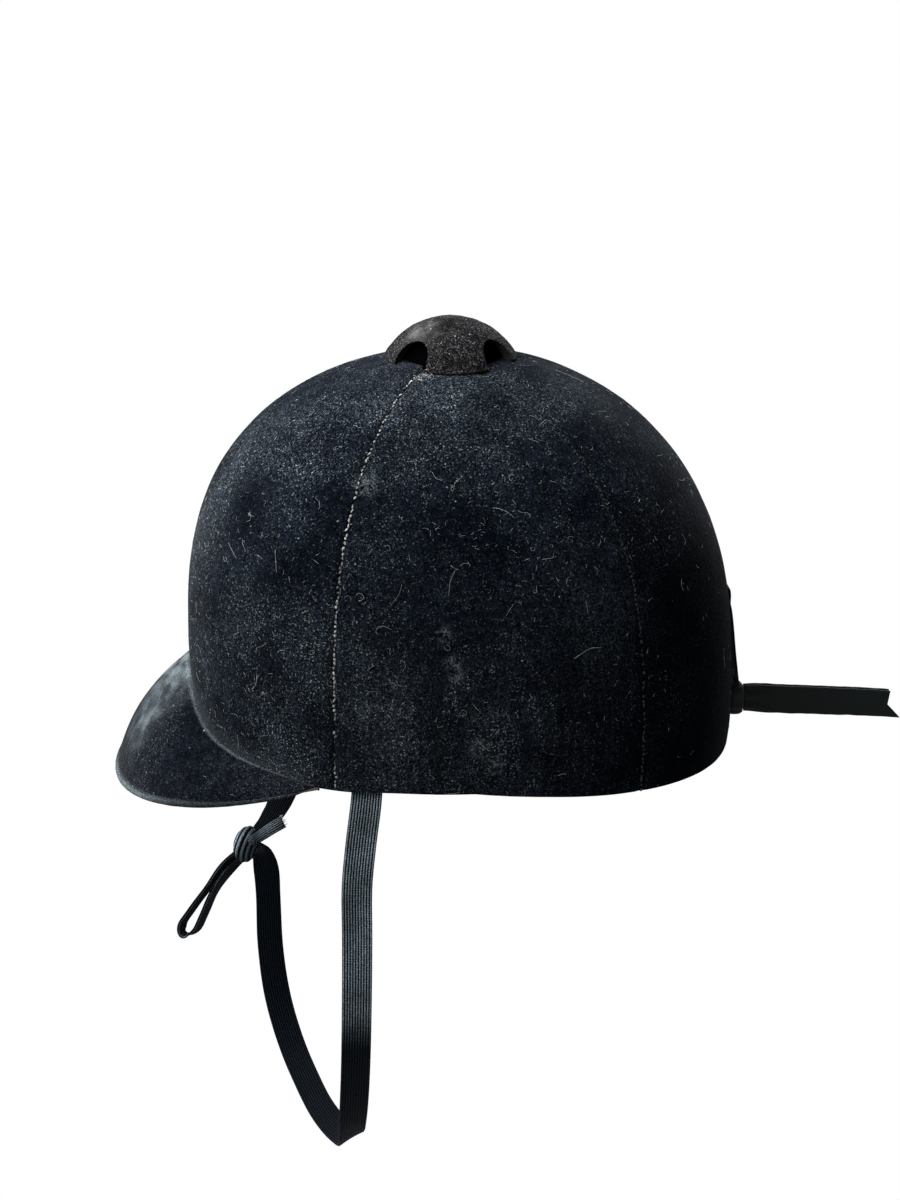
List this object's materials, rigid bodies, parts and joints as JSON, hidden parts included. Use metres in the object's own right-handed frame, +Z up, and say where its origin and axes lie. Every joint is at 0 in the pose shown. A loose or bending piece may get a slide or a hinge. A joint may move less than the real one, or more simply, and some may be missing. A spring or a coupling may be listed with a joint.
{
  "type": "riding cap",
  "caption": "Velvet covered riding cap with a short peak, a ventilated crown button, an elastic chin strap and a ribbon bow at the nape.",
  "frame": {"origin": "middle of the side rim's plane, midway between the ears, where the cap sits on the head", "axes": "+Z up through the crown button, -Y forwards over the peak, +X to the wearer's left"},
  "size_m": [0.1903, 0.344, 0.3816],
  "materials": {
    "velvet": "napped",
    "velvet_button": "napped",
    "thread": "dull",
    "shell": "laminated glass fibre",
    "board": "pressed",
    "foam": "crushable foam",
    "satin": "satin",
    "leather": "smooth",
    "pad": "felt",
    "gauze": "gauze",
    "elastic": "ribbed",
    "ribbon": "corded ribbon",
    "steel": "nickel plated",
    "brass": "turned"
  },
  "bodies": {
    "cap": {"velvet_front_panel": "velvet", "velvet_left_panel": "velvet", "velvet_right_panel": "velvet", "velvet_rear_panel": "velvet", "seam_threads": "thread", "rim_binding": "velvet", "peak_top_cover": "velvet", "peak_piping": "velvet", "peak_underlining": "satin", "peak_board": "board", "outer_shell": "shell", "shock_liner": "foam", "crown_lining": "satin", "sweatband": "leather", "brow_pad": "pad", "nape_pad": "pad", "crown_pad": "pad", "vent_gauze": "gauze", "vent_button": "board", "vent_button_cover": "velvet_button", "button_insert": "brass", "button_screw": "steel", "button_washer": "steel", "vent_bridge": "steel", "strap_rivet_left": "steel", "strap_rivet_right": "steel", "strap_washer_left": "steel", "strap_washer_right": "steel", "strap_end_left": "elastic", "strap_end_right": "elastic", "bow_patch": "ribbon", "bow_knot": "ribbon", "bow_loop": "ribbon"},
    "chin_strap": {"chin_elastic": "elastic", "strap_leader": "elastic", "strap_knot": "elastic", "knot_loop": "elastic", "strap_cut_end": "elastic"},
    "bow_tail_left": {"bow_tail_left": "ribbon"},
    "bow_tail_right": {"bow_tail_right": "ribbon"}
  },
  "joints": [
    {"name": "chin_strap_swing", "type": "hinge", "parent": "cap", "child": "chin_strap", "pos_m": [0, -0.042, -0.008], "axis": [1, 0, 0], "range_deg": [-40, 60]},
    {"name": "bow_tail_left_swing", "type": "hinge", "parent": "cap", "child": "bow_tail_left", "pos_m": [0.0011, 0.1291, -0.0018], "axis": [0, 0, 1], "range_deg": [-80, 0]},
    {"name": "bow_tail_right_swing", "type": "hinge", "parent": "cap", "child": "bow_tail_right", "pos_m": [-0.0011, 0.1291, -0.0018], "axis": [0, 0, 1], "range_deg": [0, 80]}
  ]
}
